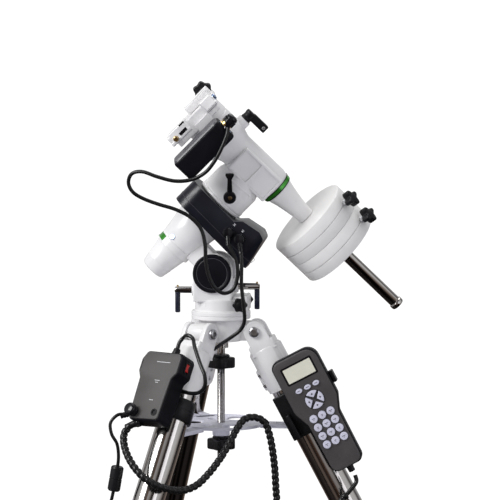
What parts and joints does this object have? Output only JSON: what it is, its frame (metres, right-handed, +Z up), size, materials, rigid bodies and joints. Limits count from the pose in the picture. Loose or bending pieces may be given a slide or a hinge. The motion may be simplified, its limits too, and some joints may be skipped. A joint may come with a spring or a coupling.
{
  "type": "equatorial mount",
  "caption": "German equatorial telescope mount with motor covers, counterweights on a bar, dovetail saddle, control box, handset and a folding tube tripod with tray.",
  "frame": {"origin": "on the floor, at the middle of the tripod's footprint box", "axes": "+Z up; +X north, the way the polar axis points; the azimuth axis is parallel to Z at X = -102.1 mm"},
  "size_m": [0.6447, 0.739, 1.0566],
  "materials": {
    "white_paint": "gloss paint",
    "green_ring": "metallic lacquer",
    "black_plastic": "satin",
    "black_gloss": "satin gloss",
    "steel": "polished",
    "chrome": "polished",
    "tray_paint": "satin powder coat",
    "box_grey": "textured",
    "handset_grey": "textured",
    "keys": "satin",
    "red_switch": "gloss",
    "brass": "machined",
    "bronze": "machined",
    "cord_rubber": "satin",
    "weight_paint": "gloss paint over iron"
  },
  "bodies": {
    "root": {"tripod_hub": "white_paint", "hub_fasteners": "steel", "centre_rod": "steel", "main_cord": "cord_rubber", "handset_cord": "cord_rubber", "power_lead": "cord_rubber", "power_coil": "cord_rubber", "power_plug": "black_plastic"},
    "hub_knob": {"hub_knob": "black_plastic"},
    "tray": {"accessory_tray": "tray_paint"},
    "tray_knob": {"tray_knob": "black_plastic"},
    "leg_north": {"leg_bracket_north": "white_paint", "leg_tube_north": "steel", "handset_shell": "handset_grey", "handset_holder": "black_plastic"},
    "leg_front": {"leg_bracket_front": "white_paint", "leg_tube_front": "steel", "control_box": "box_grey", "control_box_clip": "black_plastic"},
    "leg_rear": {"leg_bracket_rear": "white_paint", "leg_tube_rear": "steel"},
    "lower_north": {"leg_lower_north": "steel"},
    "lower_front": {"leg_lower_front": "steel"},
    "lower_rear": {"leg_lower_rear": "steel"},
    "keypad": {"handset_keypad": "keys"},
    "power_switch": {"power_switch": "red_switch"},
    "azimuth": {"azimuth_fork": "white_paint", "latitude_axle": "black_plastic"},
    "azimuth_knob_near": {"azimuth_knob_near": "black_plastic"},
    "azimuth_knob_far": {"azimuth_knob_far": "black_plastic"},
    "latitude_bolt_south": {"latitude_bolt_south": "chrome"},
    "latitude_bolt_north": {"latitude_bolt_north": "chrome"},
    "latitude": {"ra_housing_lower": "white_paint", "ra_accent_ring": "green_ring", "ra_motor_cover": "black_gloss"},
    "polar_cap": {"polar_cap": "white_paint"},
    "ra_worm": {"ra_worm": "brass"},
    "ra_wheel": {"ra_worm_wheel": "bronze"},
    "ra": {"ra_housing_upper": "white_paint", "ra_shaft": "steel", "polar_scope": "black_plastic", "dec_housing": "white_paint", "dec_accent_ring": "green_ring", "dec_motor_box": "black_plastic", "dec_cord": "cord_rubber"},
    "ra_clutch": {"ra_clutch_lever": "black_plastic"},
    "dec_clutch": {"dec_clutch_lever": "black_plastic"},
    "dec_worm": {"dec_worm": "brass"},
    "dec_wheel": {"dec_worm_wheel": "bronze"},
    "dec": {"dec_shaft": "steel", "saddle_neck": "white_paint", "saddle": "white_paint", "counterweight_cone": "white_paint", "counterweight_bar": "chrome"},
    "saddle_jaw": {"saddle_jaw": "white_paint"},
    "saddle_knob": {"saddle_knob": "black_plastic"},
    "weight_inner": {"weight_inner": "weight_paint"},
    "weight_outer": {"weight_outer": "weight_paint"},
    "weight_knob_inner": {"weight_knob_inner": "black_plastic"},
    "weight_knob_outer": {"weight_knob_outer": "black_plastic"}
  },
  "joints": [
    {"name": "hub_knob_spin", "type": "hinge", "parent": "root", "child": "hub_knob", "pos_m": [-0.10206, 0, 0.63], "axis": [0, 0, 1], "continuous": true},
    {"name": "tray_drop", "type": "slide", "parent": "root", "child": "tray", "axis": [0, 0, -1], "range_m": [0, 0.028]},
    {"name": "tray_knob_spin", "type": "hinge", "parent": "tray", "child": "tray_knob", "pos_m": [-0.10206, 0, 0.517], "axis": [0, 0, 1], "continuous": true},
    {"name": "leg_fold_north", "type": "hinge", "parent": "root", "child": "leg_north", "pos_m": [-0.05006, 0, 0.686], "axis": [0, 1, 0], "range_deg": [0, 4.1], "deforming": ["handset_cord"]},
    {"name": "leg_extend_north", "type": "slide", "parent": "leg_north", "child": "lower_north", "axis": [0.4695, 0, -0.8829], "range_m": [0, 0.28]},
    {"name": "leg_fold_front", "type": "hinge", "parent": "root", "child": "leg_front", "pos_m": [-0.12806, -0.04503, 0.686], "axis": [0.866, -0.5, 0], "range_deg": [0, 4.1], "deforming": ["power_lead"]},
    {"name": "leg_extend_front", "type": "slide", "parent": "leg_front", "child": "lower_front", "axis": [-0.2347, -0.4066, -0.8829], "range_m": [0, 0.28]},
    {"name": "leg_fold_rear", "type": "hinge", "parent": "root", "child": "leg_rear", "pos_m": [-0.12806, 0.04503, 0.686], "axis": [-0.866, -0.5, 0], "range_deg": [0, 4.1]},
    {"name": "leg_extend_rear", "type": "slide", "parent": "leg_rear", "child": "lower_rear", "axis": [-0.2347, 0.4066, -0.8829], "range_m": [0, 0.28]},
    {"name": "keypad_press", "type": "slide", "parent": "leg_north", "child": "keypad", "axis": [0, 1, 0], "range_m": [0, 0.0015], "stiffness_N_per_m": 400},
    {"name": "power_rock", "type": "hinge", "parent": "leg_front", "child": "power_switch", "pos_m": [-0.13364, -0.12669, 0.64467], "axis": [0.4415, 0.7647, -0.4695], "range_deg": [0, 7]},
    {"name": "azimuth_turn", "type": "hinge", "parent": "root", "child": "azimuth", "pos_m": [-0.10206, 0, 0.716], "axis": [0, 0, 1], "range_deg": [-7, 7], "deforming": ["main_cord"]},
    {"name": "azimuth_screw_near", "type": "slide", "parent": "azimuth", "child": "azimuth_knob_near", "axis": [0, -1, 0], "range_m": [-0.0048, 0.0048]},
    {"name": "azimuth_screw_far", "type": "slide", "parent": "azimuth", "child": "azimuth_knob_far", "axis": [0, 1, 0], "range_m": [-0.0048, 0.0048]},
    {"name": "latitude_tilt", "type": "hinge", "parent": "azimuth", "child": "latitude", "pos_m": [-0.11106, 0, 0.7735], "axis": [0, -1, 0], "range_deg": [-20, 20]},
    {"name": "latitude_screw_south", "type": "slide", "parent": "azimuth", "child": "latitude_bolt_south", "axis": [1, 0, 0], "range_m": [-0.0098, 0.0098]},
    {"name": "latitude_screw_north", "type": "slide", "parent": "azimuth", "child": "latitude_bolt_north", "axis": [1, 0, 0], "range_m": [-0.0078, 0.0078]},
    {"name": "polar_cap_pull", "type": "slide", "parent": "latitude", "child": "polar_cap", "axis": [-0.7071, 0, -0.7071], "range_m": [0, 0.05]},
    {"name": "ra_worm_spin", "type": "hinge", "parent": "latitude", "child": "ra_worm", "pos_m": [-0.09466, 0, 0.83629], "axis": [0, 1, 0], "continuous": true},
    {"name": "ra_wheel_turn", "type": "hinge", "parent": "latitude", "child": "ra_wheel", "pos_m": [-0.12025, 0, 0.86189], "axis": [0.7071, 0, 0.7071], "continuous": true},
    {"name": "ra_slew", "type": "hinge", "parent": "latitude", "child": "ra", "pos_m": [-0.08914, 0, 0.893], "axis": [0.7071, 0, 0.7071], "range_deg": [-90, 50], "deforming": ["dec_cord"]},
    {"name": "ra_clutch_turn", "type": "hinge", "parent": "ra", "child": "ra_clutch", "pos_m": [-0.0919, -0.00078, 0.89434], "axis": [-0.183, 0.9659, 0.183], "range_deg": [0, 55]},
    {"name": "dec_clutch_turn", "type": "hinge", "parent": "ra", "child": "dec_clutch", "pos_m": [-0.09335, -0.01553, 0.97075], "axis": [0.7071, 0, 0.7071], "range_deg": [-45, 45]},
    {"name": "dec_worm_spin", "type": "hinge", "parent": "ra", "child": "dec_worm", "pos_m": [-0.116, -0.01682, 0.95493], "axis": [-0.183, 0.9659, 0.183], "continuous": true},
    {"name": "dec_wheel_turn", "type": "hinge", "parent": "ra", "child": "dec_wheel", "pos_m": [-0.09677, -0.01682, 0.97417], "axis": [0.683, 0.2588, -0.683], "continuous": true},
    {"name": "dec_slew", "type": "hinge", "parent": "ra", "child": "dec", "pos_m": [-0.05237, 0, 0.92977], "axis": [0.683, 0.2588, -0.683], "continuous": true},
    {"name": "jaw_slide", "type": "slide", "parent": "dec", "child": "saddle_jaw", "axis": [-0.183, 0.9659, 0.183], "range_m": [0, 0.003]},
    {"name": "jaw_knob_turn", "type": "hinge", "parent": "saddle_jaw", "child": "saddle_knob", "pos_m": [-0.12121, -0.03225, 1.03114], "axis": [-0.183, 0.9659, 0.183], "range_deg": [0, 720]},
    {"name": "weight_inner_slide", "type": "slide", "parent": "dec", "child": "weight_inner", "axis": [0.683, 0.2588, -0.683], "range_m": [0, 0.045]},
    {"name": "weight_outer_slide", "type": "slide", "parent": "weight_inner", "child": "weight_outer", "axis": [0.683, 0.2588, -0.683], "range_m": [0, 0.065]},
    {"name": "weight_knob_inner_turn", "type": "hinge", "parent": "weight_inner", "child": "weight_knob_inner", "pos_m": [0.03526, 0.03321, 0.84214], "axis": [0.7039, -0.483, 0.5209], "continuous": true},
    {"name": "weight_knob_outer_turn", "type": "hinge", "parent": "weight_outer", "child": "weight_knob_outer", "pos_m": [0.06005, 0.0426, 0.81735], "axis": [0.7039, -0.483, 0.5209], "continuous": true}
  ],
  "couplings": [
    {"joint": "leg_fold_north", "follows": "tray_drop", "rad_per_m": 2.5},
    {"joint": "leg_fold_front", "follows": "tray_drop", "rad_per_m": 2.5},
    {"joint": "leg_fold_rear", "follows": "tray_drop", "rad_per_m": 2.5},
    {"joint": "azimuth_screw_near", "follows": "azimuth_turn", "m_per_rad": 0.033},
    {"joint": "azimuth_screw_far", "follows": "azimuth_turn", "m_per_rad": -0.033},
    {"joint": "latitude_screw_south", "follows": "latitude_tilt", "m_per_rad": 0.0275},
    {"joint": "latitude_screw_north", "follows": "latitude_tilt", "m_per_rad": 0.0215},
    {"joint": "ra_wheel_turn", "follows": "ra_worm_spin", "ratio": 0.0069444},
    {"joint": "dec_wheel_turn", "follows": "dec_worm_spin", "ratio": 0.0069444},
    {"joint": "jaw_knob_turn", "follows": "jaw_slide", "rad_per_m": 4188.8}
  ]
}
